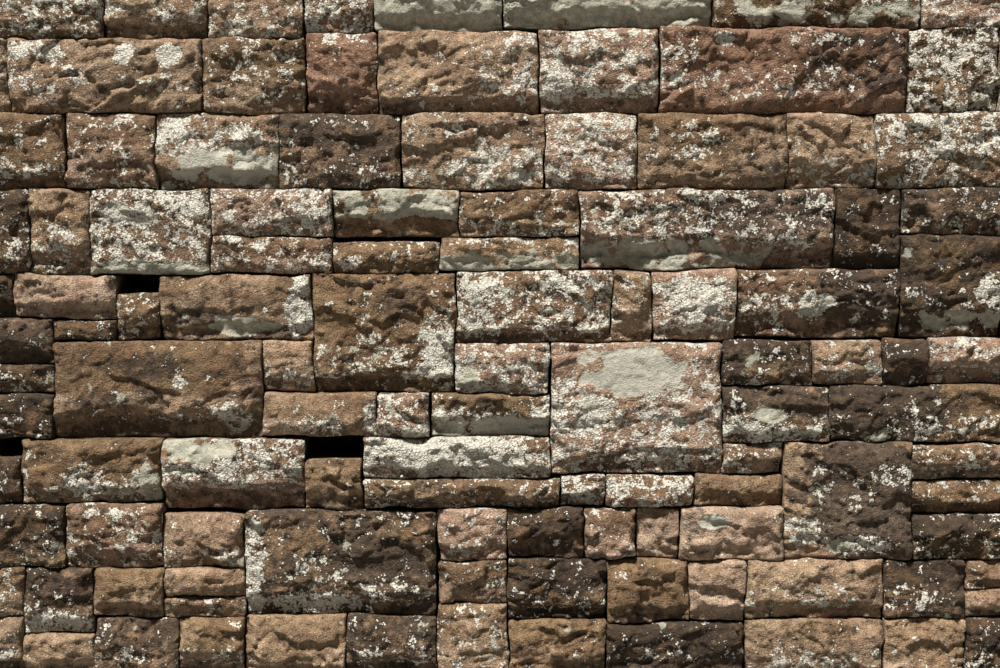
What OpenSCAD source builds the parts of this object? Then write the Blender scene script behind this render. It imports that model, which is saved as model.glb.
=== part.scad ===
// Dry stone wall of squared, rock-faced sandstone blocks.
// Two faces of stones laid without mortar, small hearting packed between them,
// tie stones across both ends and flat cope slabs on top.
// The front face looks towards -Y. The origin is at the middle of the foot.

/* [Wall] */
// Length of the stretch of wall
wall_length = 2000; // [1900:10:2300]
// Thickness at the foot, over the arrises of the stones
base_thickness = 500; // [440:10:600]
// How far each face leans in, in millimetres for each metre of height
batter = 50; // [0:5:70]
// Width of the packed hearting between the two faces
hearting_width = 90; // [60:5:130]

/* [Courses] */
// Height of the first course
course_1 = 93; // [85:1:120]
// Height of the second course
course_2 = 89; // [85:1:120]
// Height of the third course
course_3 = 88; // [80:1:120]
// Height of the fourth course
course_4 = 112; // [105:1:140]
// Height of the fifth course, the tallest
course_5 = 159; // [145:1:190]
// Height of the sixth course
course_6 = 113; // [100:1:140]
// Height of the seventh course
course_7 = 133; // [120:1:160]
// Height of the eighth course
course_8 = 122; // [90:1:150]
// Height of the ninth course
course_9 = 134; // [100:1:160]
// Height of the tenth course
course_10 = 117; // [90:1:150]
// Height of the upper stones where the fourth course is split in two
split_4 = 64; // [50:1:70]
// Height of the upper stones where the fifth course is split in two
split_5 = 84; // [65:1:95]
// Height of the upper stones where the seventh course is split in two
split_7 = 77; // [55:1:90]

/* [Stones] */
// Width of the upright joint between two stones
joint = 5; // [3:0.5:8]
// Seating clearance on the beds
bed_gap = 0.3; // [0.2:0.1:0.6]
// Least bulge of a rock face beyond its arrises
bulge_min = 8; // [3:1:12]
// Greatest bulge of a rock face beyond its arrises
bulge_max = 20; // [14:1:24]
// Least width of a sloping margin around a rock face
margin_min = 7; // [4:1:12]
// Greatest width of a sloping margin around a rock face
margin_max = 30; // [14:1:40]
// Greatest slope of a rock face across its width or its height
lean_max = 7; // [0:1:8]
// How far the foot of the deepest undercut stones is set back behind their arrises
undercut_max = 14; // [4:1:16]
// Greatest height of an undercut
undercut_height = 24; // [8:1:26]

/* [Cope] */
// Thickness of the cope slabs
cope_height = 88; // [60:1:120]
// How far the cope slabs stand out over the faces
cope_overhang = 22; // [10:1:40]

/* [Hidden] */

// Half the length. Joints along the wall are given in thousandths of it from the middle,
// so the stones of every row share out whatever length is set.
end = wall_length / 2;
function along(share) = share * end / 1000;

// Bed levels above the ground, one at the top of each course
b1 = course_1;
b2 = b1 + course_2;
b3 = b2 + course_3;
b4 = b3 + course_4;
b5 = b4 + course_5;
b6 = b5 + course_6;
b7 = b6 + course_7;
b8 = b7 + course_8;
b9 = b8 + course_9;
b10 = b9 + course_10;

// Levels inside the split courses
s4 = b4 - split_4;
s5 = b5 - split_5;
s7 = b7 - split_7;

// Left and right joint of each tall stone, which runs up through the next rows too,
// in thousandths of half the length
tall_a = [-413, -102];
tall_b = [459, 667];
tall_c = [80, 360];
tall_d = [-302, -72];
tall_e = [648, 816];
tall_f = [-723, -386];

// Entry of a row where an earlier, taller stone already stands, or where nothing is laid
taken = undef;

// The rows of stones in the order of laying. Each entry is a stone's left joint, in
// thousandths of half the length, and the level of its top in millimetres. Its right joint
// is the next entry's, and its foot is found by setting it down on the stones below.
rows = [
    // First course
    [[-1000, b1], [-856, b1], [-771, b1 - 26], [-659, b1], [-520, b1], [-413, b1 + 3],
     [-248, b1 + 3], [-102, b1 + 22], [13, b1 - 3], [173, b1 - 8], [397, b1 - 3],
     [621, b1], [755, b1], [856, b1], [1000, taken]],
    // Second course, and the tall stone a
    [[-1000, b2 - 8], [-771, b2 - 8], [-659, b2 - 8], [-544, b1 + 35],
     [tall_a[0], b3 - 4], [tall_a[1], b2 + 2], [13, b2 + 7], [173, b2 + 5],
     [307, b2 + 5], [397, b2 + 5], [621, b2 + 4], [755, b1 + 48], [1000, taken]],
    // Thin stones that bring the second course up to its level
    [[-544, b2 - 9], [tall_a[0], taken], [755, b2 + 4], [1000, taken]],
    // Third course, and the tall stone b
    [[-1000, b3 + 7], [-851, b3 + 7], [-702, b3 + 8], [-546, b3 - 9],
     [tall_a[0], taken], [tall_a[1], b3], [11, b3], [138, b3], [219, b3],
     [291, b3 + 2], [tall_b[0], b4 - 6], [tall_b[1], b3 - 9], [848, b3 - 9], [1000, taken]],
    // Fourth course
    [[-1000, b4 - 1], [-822, b4 - 30], [-774, b4], [-548, b4], [-317, b4 - 33],
     [-222, s4], [96, s4 + 5], [171, s4 + 5], [314, s4 + 7], [tall_b[0], taken],
     [tall_b[1], s4 - 3], [816, b4 - 8], [1000, taken]],
    // Upper stones of the fourth course, and the tall stone c
    [[-222, b4 + 4], [tall_c[0], b5 - 3], [tall_c[1], b4 - 6], [tall_b[0], taken],
     [tall_b[1], b4 - 8], [816, taken]],
    // Fifth course, with the long stone f at its full height
    [[-1000, b5 - 40], [-880, s5], [tall_f[0], b5], [tall_f[1], s5], [-198, s5],
     [-112, s5], [tall_c[0], taken], [tall_c[1], s5 + 10], [534, s5 + 13],
     [848, s5 + 13], [1000, taken]],
    // Upper stones of the fifth course, and the tall stone d
    [[-880, b5 - 40], [tall_f[0], taken], [tall_f[1], b5], [tall_d[0], b6 - 4],
     [tall_d[1], b5 - 3], [tall_c[0], taken], [tall_c[1], b5], [507, b5],
     [621, b5 + 3], [693, b5 + 6], [816, b5 + 6], [1000, taken]],
    // Sixth course, and the tall stone e
    [[-1000, b5 + 38], [-832, b5 + 38], [tall_f[0], b5 + 36], [-622, b6 - 35],
     [-550, b6 - 6], [tall_d[0], taken], [tall_d[1], b6], [182, b6 + 1],
     [246, b6 + 3], [384, b6 + 3], [tall_e[0], b7 - 75], [tall_e[1], b6 - 22],
     [1000, taken]],
    // Upper stones of the sixth course
    [[-1000, b6 - 6], [-864, b6 - 6], [-787, b6 - 6], [-622, taken],
     [tall_e[1], b7 - 75], [1000, taken]],
    // Seventh course
    [[-1000, b7], [-762, b7], [-664, b7], [-470, s7], [-270, s7 - 8], [-98, s7 - 1],
     [128, b7], [542, b7], [tall_e[0], taken]],
    // Upper stones of the seventh course
    [[-470, b7], [-270, b7], [-66, b7], [128, taken], [650, b7], [846, b7],
     [1000, taken]],
    // Eighth course
    [[-1000, b8], [-848, b8], [-704, b8], [-555, b8], [-357, b8], [-160, b8],
     [72, b8], [224, b8], [464, b8], [608, b8], [870, b8], [1000, taken]],
    // Ninth course
    [[-1000, b9 - 13], [-797, b9 - 13], [-480, b9 - 13], [-315, b9 - 3], [-197, b9 - 1],
     [64, b9 + 2], [259, b9 + 5], [661, b9 + 5], [808, b9 + 5], [1000, taken]],
    // Tenth course
    [[-1000, b10], [-848, b10], [-643, b10], [-472, b10], [-320, b10], [-205, b10],
     [3, b10], [341, b10], [682, b10], [848, b10], [1000, taken]]
];

// Rows whose end stones are ties that run through the whole thickness
tie_rows = [0, 3, 6, 9, 12, 14];

// Stones with the deepest undercut, each as its row and its number in the row
deep_undercuts = [[4, 3], [6, 2], [8, 8], [10, 6]];

// Joints of the cope slabs, in thousandths of half the length
cope_joints = [-1000, -612, -168, 236, 640, 1000];

// Two stones lie over each other when they share more than a joint's width
function over(a, b) = a[0] + joint < b[1] && b[0] + joint < a[1];
function foot_level(x, laid) =
    max(concat([0], [for (s = laid) if (over(x, s)) s[3] + bed_gap]));
function row_stones(row, laid) = [
    for (i = [0 : len(row) - 2])
        if (!is_undef(row[i][1]))
            let (x = [along(row[i][0]), along(row[i + 1][0])])
                [x[0], x[1], foot_level(x, laid), row[i][1]]
];
// All rows from row n on, each as a list of stones [left, right, foot, top]
function lay(n, laid) = n == len(rows) ? [] :
    let (new = row_stones(rows[n], laid))
        concat([new], lay(n + 1, concat(laid, new)));
wall = lay(0, []);

function at_left_end(s) = s[0] < -end + joint;
function at_right_end(s) = s[1] > end - joint;
function is_end(s) = at_left_end(s) || at_right_end(s);
function is_tie_row(n) = len([for (r = tie_rows) if (r == n) r]) > 0;
function is_tie(n, s) = is_end(s) && is_tie_row(n);

// Distance of the arrises from the middle plane of the wall at a level
function face_y(level) = base_thickness / 2 - batter * level / 1000;
function bulge(n, i) = rands(bulge_min, bulge_max, 1, 40 * n + i)[0];

// Form of the rock face of stone i in row n, each value from 0 to 1: its four margins (left,
// right, foot and head), its slopes across the width and the height, and its undercut
function is_deep(n, i) = len([for (d = deep_undercuts) if (d == [n, i]) d]) > 0;
function form(n, i) =
    let (r = rands(0, 1, 7, 5000 + 40 * n + i))
        [r[0], r[1], r[2], r[3], r[4], r[5], is_deep(n, i) ? 1 : max(0, 1.2 * r[6] - 0.4)];
level_form = [0.3, 0.3, 0.3, 0.3, 0.5, 0.5, 0];

// Width of a margin, and set-back of the two ends of a sloping face
function margin_of(r, span) = min(margin_min + r * (margin_max - margin_min), span / 3);
function slope_of(r, out) =
    let (lean = (2 * r - 1) * min(lean_max, out - 2)) [max(0, lean), max(0, -lean)];

// Innermost ends of the end stones, between which the hearting lies
hearting_left = max([for (row = wall) for (s = row) if (at_left_end(s)) s[1]]);
hearting_right = min([for (row = wall) for (s = row) if (at_right_end(s)) s[0]]);

// A stone from above: a rectangle whose chosen sides bulge by out within sloping margins.
// rock_u and rock_v say which of the low and the high side is a rock face.
module plan_outline(u, v, rock_u, rock_v, out, form) {
    ui = [u[0] + rock_u[0] * out, u[1] - rock_u[1] * out];
    vi = [v[0] + rock_v[0] * out, v[1] - rock_v[1] * out];
    m = [margin_of(form[0], u[1] - u[0]), margin_of(form[1], u[1] - u[0])];
    end_m = margin_of(form[0], v[1] - v[0]);
    back = slope_of(form[4], out);
    polygon(concat(
        [[ui[0], vi[0]]],
        rock_v[0] ? [[ui[0] + m[0], v[0] + back[0]], [ui[1] - m[1], v[0] + back[1]]] : [],
        [[ui[1], vi[0]]],
        rock_u[1] ? [[u[1], vi[0] + end_m], [u[1], vi[1] - end_m]] : [],
        [[ui[1], vi[1]]],
        rock_v[1] ? [[ui[1] - m[1], v[1] - back[1]], [ui[0] + m[0], v[1] - back[0]]] : [],
        [[ui[0], vi[1]]],
        rock_u[0] ? [[u[0], vi[1] - end_m], [u[0], vi[0] + end_m]] : []
    ));
}

// Points up one rock face seen from the side, from foot to head. They lie at distances from
// the plane u0, inwards being the way of inward, 1 or -1.
function side_points(u0, inward, z, out, form) =
    let (tall = z[1] - z[0],
         lip = form[6] > 0 ? min(undercut_height * (0.4 + 0.6 * form[6]), tall / 4) : 0,
         foot = out + form[6] * undercut_max,
         back = slope_of(form[5], out),
         profile = concat([[foot, 0]], lip > 0 ? [[foot, lip]] : [], [
             [back[0], lip + margin_of(form[2], tall)],
             [back[1], tall - margin_of(form[3], tall)], [out, tall]
         ]))
        [for (p = profile) [u0 + inward * p[0], z[0] + p[1]]];
function plain_points(u0, z) = [[u0, z[0]], [u0, z[1]]];
function backwards(list) = [for (i = [len(list) - 1 : -1 : 0]) list[i]];

// A stone from the side: rock faces, with an undercut foot, on the chosen sides
module side_outline(u, z, rock, out, form) {
    polygon(concat(
        rock[0] ? side_points(u[0], 1, z, out, form) : plain_points(u[0], z),
        backwards(rock[1] ? side_points(u[1], -1, z, out, form) : plain_points(u[1], z))
    ));
}

// One squared stone that fills x, y and z, with rock faces on the chosen sides
module stone(x, y, z, rock_x, rock_y, out, form) {
    intersection() {
        translate([0, 0, z[0]])
            linear_extrude(z[1] - z[0])
                plan_outline(x, y, rock_x, rock_y, out, form);
        translate([x[0], 0, 0])
            rotate([90, 0, 90])
                linear_extrude(x[1] - x[0])
                    side_outline(y, z, rock_y, out, form);
        if (rock_x[0] || rock_x[1])
            translate([0, y[1], 0])
                rotate([90, 0, 0])
                    linear_extrude(y[1] - y[0])
                        side_outline(x, z, rock_x, out, form);
    }
}

// Upright joints take half their width from each neighbour, but not at the wall's ends
function clear_x(s) = [
    s[0] + (at_left_end(s) ? 0 : joint / 2),
    s[1] - (at_right_end(s) ? 0 : joint / 2)
];
function end_rock(s) = [at_left_end(s) ? 1 : 0, at_right_end(s) ? 1 : 0];

// A stone of the front face. End stones reach back to the middle of the wall.
module face_stone(s, out, form) {
    front = -face_y((s[2] + s[3]) / 2) - out;
    back = is_end(s) ? -joint / 2 : -hearting_width / 2;
    stone(clear_x(s), [front, back], [s[2], s[3]], end_rock(s), [1, 0], out, form);
}

// A stone that runs through from face to face
module tie_stone(s, out, form) {
    front = -face_y((s[2] + s[3]) / 2) - out;
    stone(clear_x(s), [front, -front], [s[2], s[3]], end_rock(s), [1, 1], out, form);
}

module front_row(n) {
    for (i = [0 : len(wall[n]) - 1])
        if (!is_tie(n, wall[n][i]))
            face_stone(wall[n][i], bulge(n, i), form(n, i));
}

// The back face mirrors the front face
module back_row(n) {
    mirror([0, 1, 0]) front_row(n);
}

module end_ties(left) {
    for (n = tie_rows)
        for (i = [0 : len(wall[n]) - 1])
            if (left ? at_left_end(wall[n][i]) : at_right_end(wall[n][i]))
                tie_stone(wall[n][i], bulge(n, i), form(n, i));
}

module front_course_1() { color("#7d6450") front_row(0); }
module front_course_2() { color("#86654d") front_row(1); }
module front_course_2_thin() { color("#947057") front_row(2); }
module front_course_3() { color("#8a7263") front_row(3); }
module front_course_4() { color("#9a8b7c") front_row(4); }
module front_course_4_upper() { color("#a39a8c") front_row(5); }
module front_course_5() { color("#8d674c") front_row(6); }
module front_course_5_upper() { color("#92705a") front_row(7); }
module front_course_6() { color("#96735b") front_row(8); }
module front_course_6_upper() { color("#8c6a50") front_row(9); }
module front_course_7() { color("#9b9384") front_row(10); }
module front_course_7_upper() { color("#8f8a7b") front_row(11); }
module front_course_8() { color("#8b7160") front_row(12); }
module front_course_9() { color("#85614a") front_row(13); }
module front_course_10() { color("#96897a") front_row(14); }

module back_course_1() { color("#7d6450") back_row(0); }
module back_course_2() { color("#86654d") back_row(1); }
module back_course_2_thin() { color("#947057") back_row(2); }
module back_course_3() { color("#8a7263") back_row(3); }
module back_course_4() { color("#9a8b7c") back_row(4); }
module back_course_4_upper() { color("#a39a8c") back_row(5); }
module back_course_5() { color("#8d674c") back_row(6); }
module back_course_5_upper() { color("#92705a") back_row(7); }
module back_course_6() { color("#96735b") back_row(8); }
module back_course_6_upper() { color("#8c6a50") back_row(9); }
module back_course_7() { color("#9b9384") back_row(10); }
module back_course_7_upper() { color("#8f8a7b") back_row(11); }
module back_course_8() { color("#8b7160") back_row(12); }
module back_course_9() { color("#85614a") back_row(13); }
module back_course_10() { color("#96897a") back_row(14); }

module left_end_ties() { color("#83695a") end_ties(true); }
module right_end_ties() { color("#7b6456") end_ties(false); }

// The small packed stones inside, as one block
module hearting() {
    color("#6b5546")
        translate([hearting_left, -hearting_width / 2 + bed_gap, 0])
            cube([hearting_right - hearting_left, hearting_width - 2 * bed_gap, b10]);
}

module cope_slabs() {
    reach = face_y(b10) + cope_overhang;
    foot = b10 + bed_gap;
    color("#8c8274")
        for (i = [0 : len(cope_joints) - 2]) {
            slab = [along(cope_joints[i]), along(cope_joints[i + 1])];
            stone(clear_x(slab), [-reach, reach], [foot, foot + cope_height],
                  end_rock(slab), [1, 1], bulge_min, level_form);
        }
}

front_course_1();
front_course_2();
front_course_2_thin();
front_course_3();
front_course_4();
front_course_4_upper();
front_course_5();
front_course_5_upper();
front_course_6();
front_course_6_upper();
front_course_7();
front_course_7_upper();
front_course_8();
front_course_9();
front_course_10();
back_course_1();
back_course_2();
back_course_2_thin();
back_course_3();
back_course_4();
back_course_4_upper();
back_course_5();
back_course_5_upper();
back_course_6();
back_course_6_upper();
back_course_7();
back_course_7_upper();
back_course_8();
back_course_9();
back_course_10();
left_end_ties();
right_end_ties();
hearting();
cope_slabs();
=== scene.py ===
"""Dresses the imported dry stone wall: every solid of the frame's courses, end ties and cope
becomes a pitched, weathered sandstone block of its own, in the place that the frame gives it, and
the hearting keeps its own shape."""
import math
from functools import partial
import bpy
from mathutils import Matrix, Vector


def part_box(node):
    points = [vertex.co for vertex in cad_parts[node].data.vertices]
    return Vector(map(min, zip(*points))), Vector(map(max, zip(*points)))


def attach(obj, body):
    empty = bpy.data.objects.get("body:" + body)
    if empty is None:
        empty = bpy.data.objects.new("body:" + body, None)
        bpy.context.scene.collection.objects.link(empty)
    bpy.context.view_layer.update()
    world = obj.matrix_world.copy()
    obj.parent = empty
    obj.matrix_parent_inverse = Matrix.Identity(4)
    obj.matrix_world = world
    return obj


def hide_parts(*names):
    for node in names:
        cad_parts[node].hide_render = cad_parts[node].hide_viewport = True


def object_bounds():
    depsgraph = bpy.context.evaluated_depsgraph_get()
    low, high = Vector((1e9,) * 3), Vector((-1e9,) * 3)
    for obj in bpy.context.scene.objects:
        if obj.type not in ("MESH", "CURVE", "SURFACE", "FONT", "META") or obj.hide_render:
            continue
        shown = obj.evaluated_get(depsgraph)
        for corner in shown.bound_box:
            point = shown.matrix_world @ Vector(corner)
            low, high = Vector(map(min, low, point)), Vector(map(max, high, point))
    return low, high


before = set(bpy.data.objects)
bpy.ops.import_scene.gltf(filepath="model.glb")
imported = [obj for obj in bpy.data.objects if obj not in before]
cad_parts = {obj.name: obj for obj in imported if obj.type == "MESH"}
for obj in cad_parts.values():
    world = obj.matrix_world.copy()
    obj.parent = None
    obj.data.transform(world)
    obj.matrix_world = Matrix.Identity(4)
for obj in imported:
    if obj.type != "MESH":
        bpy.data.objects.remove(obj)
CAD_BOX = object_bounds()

from types import SimpleNamespace

import bpy
import numpy as np
from mathutils import Vector
from mathutils.bvhtree import BVHTree

bl_info = {
    "name": "Dry stone wall",
    "version": (1, 0, 0),
    "blender": (4, 5, 0),
    "location": "3D View > Sidebar > Stone wall",
    "description": "Builds weathered sandstone blocks around the wall's frame",
    "category": "Object",
}

MM = 0.001
BODY = "root"
SEED = 1871

# The photograph's frame and the place of the wall in it
PHOTO_WIDTH = 1000
PHOTO_HEIGHT = 668
MM_PER_PIXEL = 1.6
GROUND_PIXEL = 680
BATTER = 0.05


def linear(code):
    """Linear red, green and blue of an sRGB hex colour."""
    parts = (int(code[i : i + 2], 16) / 255 for i in (1, 3, 5))
    return tuple(p / 12.92 if p <= 0.04045 else ((p + 0.055) / 1.055) ** 2.4 for p in parts)


def colour(name, code):
    """A colour property with an sRGB hex default."""
    return bpy.props.FloatVectorProperty(
        name=name, description=f"{name} of the wall", default=linear(code),
        subtype="COLOR", size=3, min=0.0, max=1.0,
    )


def length(name, millimetres, about):
    """A length property given in millimetres."""
    return bpy.props.FloatProperty(
        name=name, description=about, default=millimetres * MM,
        min=0.0, subtype="DISTANCE", unit="LENGTH",
    )


class WallShape(bpy.types.PropertyGroup):
    """Sizes of the mesh and of the wear"""
    front_cell: length("Front mesh", 3.0, "Spacing of the mesh on the front face")
    back_cell: length("Back mesh", 7.8, "Spacing of the mesh on the back face")
    end_cell: length("End mesh", 6.5, "Spacing of the mesh on the wall's ends")
    cope_cell: length("Cope mesh", 8.0, "Spacing of the mesh on the cope slabs")
    arris: length("Arris", 1.1, "Usual radius of a weathered arris")
    corner: length("Corner", 1.6, "Usual radius of a worn corner, seen from in front")
    setback: length("Set-back", 1.8, "How far the worn arrises lie behind the frame's arrises")
    wave: length("Wave", 3.0, "How far the edges of each stone wander")
    drift: length("Drift", 5.0, "How far the joints wander, with the stones at both sides")
    askew: length("Out of square", 3.0, "How far the sides of a stone run off square")
    rough: length("Roughness", 1.5, "Height of the broad unevenness of a rock face")
    pitting: length("Pitting", 0.8, "Height of the fine unevenness of a rock face")
    riven: length("Riven", 3.0, "Depth of one layer of the riven top of a cope slab")


class WallColours(bpy.types.PropertyGroup):
    """Colours of the stone and of what grows on it"""
    tan: colour("Tan stone", "#97836f")
    brown: colour("Brown stone", "#836f59")
    red: colour("Red stone", "#745a48")
    pink: colour("Pink stone", "#856f5d")
    dark: colour("Dark stone", "#66543f")
    crust_pale: colour("Pale crust", "#c0bcad")
    crust_grey: colour("Grey crust", "#96938a")
    film_pale: colour("Pale film", "#938f82")
    film_grey: colour("Grey film", "#949182")
    film_green: colour("Green film", "#7a7867")
    stain: colour("Black stain", "#241e19")
    patina: colour("Patina", "#c2b9a6")
    # Earth in the joints, which also serves as painted shade deep in them and between the stones of
    # the hearting
    earth: colour("Earth in joints", "#4a3728")
    floor: colour("Floor", "#777673")


# Finishes of the stones: tone, then how much crust, olive film and stain covers the stone's
# foot and its head
FINISHES = {
    "bare": ("brown", (0.10, 0.05), (0.05, 0.02), (0.30, 0.25)),
    "tan": ("tan", (0.12, 0.08), (0.10, 0.02), (0.16, 0.22)),
    "red": ("red", (0.15, 0.10), (0.05, 0.05), (0.25, 0.20)),
    "pink_bare": ("pink", (0.20, 0.20), (0.05, 0.05), (0.15, 0.20)),
    "brown_low_crust": ("brown", (0.46, 0.10), (0.20, 0.05), (0.25, 0.25)),
    "speckled": ("brown", (0.38, 0.30), (0.15, 0.10), (0.30, 0.30)),
    "pink_speckled": ("pink", (0.42, 0.38), (0.10, 0.10), (0.20, 0.20)),
    "crusted": ("pink", (0.52, 0.56), (0.15, 0.10), (0.25, 0.22)),
    "film_low": ("brown", (0.18, 0.38), (0.85, 0.10), (0.20, 0.25)),
    "film": ("brown", (0.22, 0.22), (0.80, 0.65), (0.20, 0.25)),
    "dark": ("dark", (0.24, 0.18), (0.10, 0.05), (0.50, 0.52)),
    "dark_crust": ("dark", (0.36, 0.20), (0.15, 0.10), (0.45, 0.58)),
    "dark_lichen": ("dark", (0.46, 0.62), (0.30, 0.10), (0.35, 0.30)),
    "cope": ("dark", (0.30, 0.24), (0.20, 0.12), (0.40, 0.50)),
    "cope_film": ("brown", (0.30, 0.26), (0.35, 0.36), (0.40, 0.45)),
    "cope_dark": ("dark", (0.25, 0.14), (0.20, 0.06), (0.50, 0.60)),
}

# Finishes of the front stones in each node, from left to right
FRONT_FINISHES = {
    "course_1": ["speckled", "bare", "dark_crust", "brown_low_crust", "tan", "dark_crust"],
    "course_2": [
        "speckled", "dark_crust", "bare", "speckled", "dark", "speckled",
        "dark_crust", "bare", "tan", "brown_low_crust", "dark_crust", "bare",
    ],
    "course_2_thin": ["bare", "tan"],
    "course_3": [
        "dark_crust", "pink_speckled", "brown_low_crust", "pink_speckled", "dark",
        "pink_speckled", "tan", "tan", "bare", "dark_crust",
    ],
    "course_4": [
        "dark_crust", "dark", "brown_low_crust", "crusted", "bare", "speckled",
        "crusted", "crusted", "tan", "speckled", "dark_crust",
    ],
    "course_4_upper": ["crusted", "crusted", "pink_speckled", "speckled"],
    "course_5": ["dark", "bare", "tan", "crusted", "film_low", "dark_crust", "speckled"],
    "course_5_upper": [
        "dark_crust", "brown_low_crust", "brown_low_crust", "crusted", "dark_crust",
        "speckled", "dark", "crusted", "dark",
    ],
    "course_6": [
        "dark_crust", "dark_crust", "dark", "speckled", "bare", "crusted",
        "speckled", "pink_speckled", "pink_bare", "dark", "dark",
    ],
    "course_6_upper": ["dark", "tan"],
    "course_7": [
        "dark_crust", "brown_low_crust", "dark_lichen", "pink_speckled", "speckled", "film_low",
        "crusted", "dark",
    ],
    "course_7_upper": ["crusted", "film", "speckled", "dark_crust", "dark"],
    "course_8": [
        "speckled", "pink_speckled", "film_low", "dark_crust", "speckled", "crusted", "bare",
        "brown_low_crust", "dark_lichen",
    ],
    "course_9": [
        "speckled", "bare", "speckled", "red", "bare", "pink_speckled", "red",
        "dark_lichen", "speckled",
    ],
    "course_10": [
        "dark_lichen", "speckled", "brown_low_crust", "crusted", "film_low", "film",
        "dark_lichen", "crusted",
    ],
}
# Marks of single front stones, by node and number from the left. Places and sizes are shares
# of the stone's width and height, from its lower left corner.
#
# Ledges: the face drops back below a line between two places, by a depth in millimetres, and
# comes forward again over a height in millimetres
LEDGES = {
    ("course_4_upper", 1): [
        (0.20, 0.14, 0.60, 0.21, 13, 60), (0.60, 0.21, 1.00, 0.17, 13, 60),
        (0.35, 0.36, 0.55, 0.42, 6, 30), (0.62, 0.44, 0.85, 0.42, 7, 30),
    ],
    ("course_5", 1): [
        (0.26, 0.66, 0.62, 0.47, 8, 32), (0.68, 0.36, 0.84, 0.50, 7, 30),
        (0.03, 0.17, 0.68, 0.21, 9, 400), (0.66, 0.30, 0.95, 0.12, 9, 90),
    ],
    ("course_5_upper", 2): [(0.15, 0.42, 0.55, 0.34, 6, 40), (0.30, 0.16, 0.85, 0.22, 8, 60)],
    ("course_6", 4): [(0.08, 0.50, 0.42, 0.45, 8, 40), (0.36, 0.40, 0.62, 0.50, 9, 34)],
    ("course_6", 5): [(0.60, 0.22, 0.86, 0.38, 7, 34)],
    ("course_6", 8): [(0.55, 0.42, 0.92, 0.36, 8, 90)],
    ("course_6", 9): [(0.10, 0.25, 0.95, 0.28, 7, 60)],
    ("course_7", 6): [(0.00, 0.36, 0.50, 0.42, 6, 60), (0.50, 0.42, 1.00, 0.24, 6, 60)],
    ("course_3", 8): [(0.45, 0.30, 0.80, 0.36, 7, 40)],
    ("course_2", 4): [(0.30, 0.60, 0.70, 0.50, 5, 40), (0.10, 0.16, 0.90, 0.12, 8, 80)],
}
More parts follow.
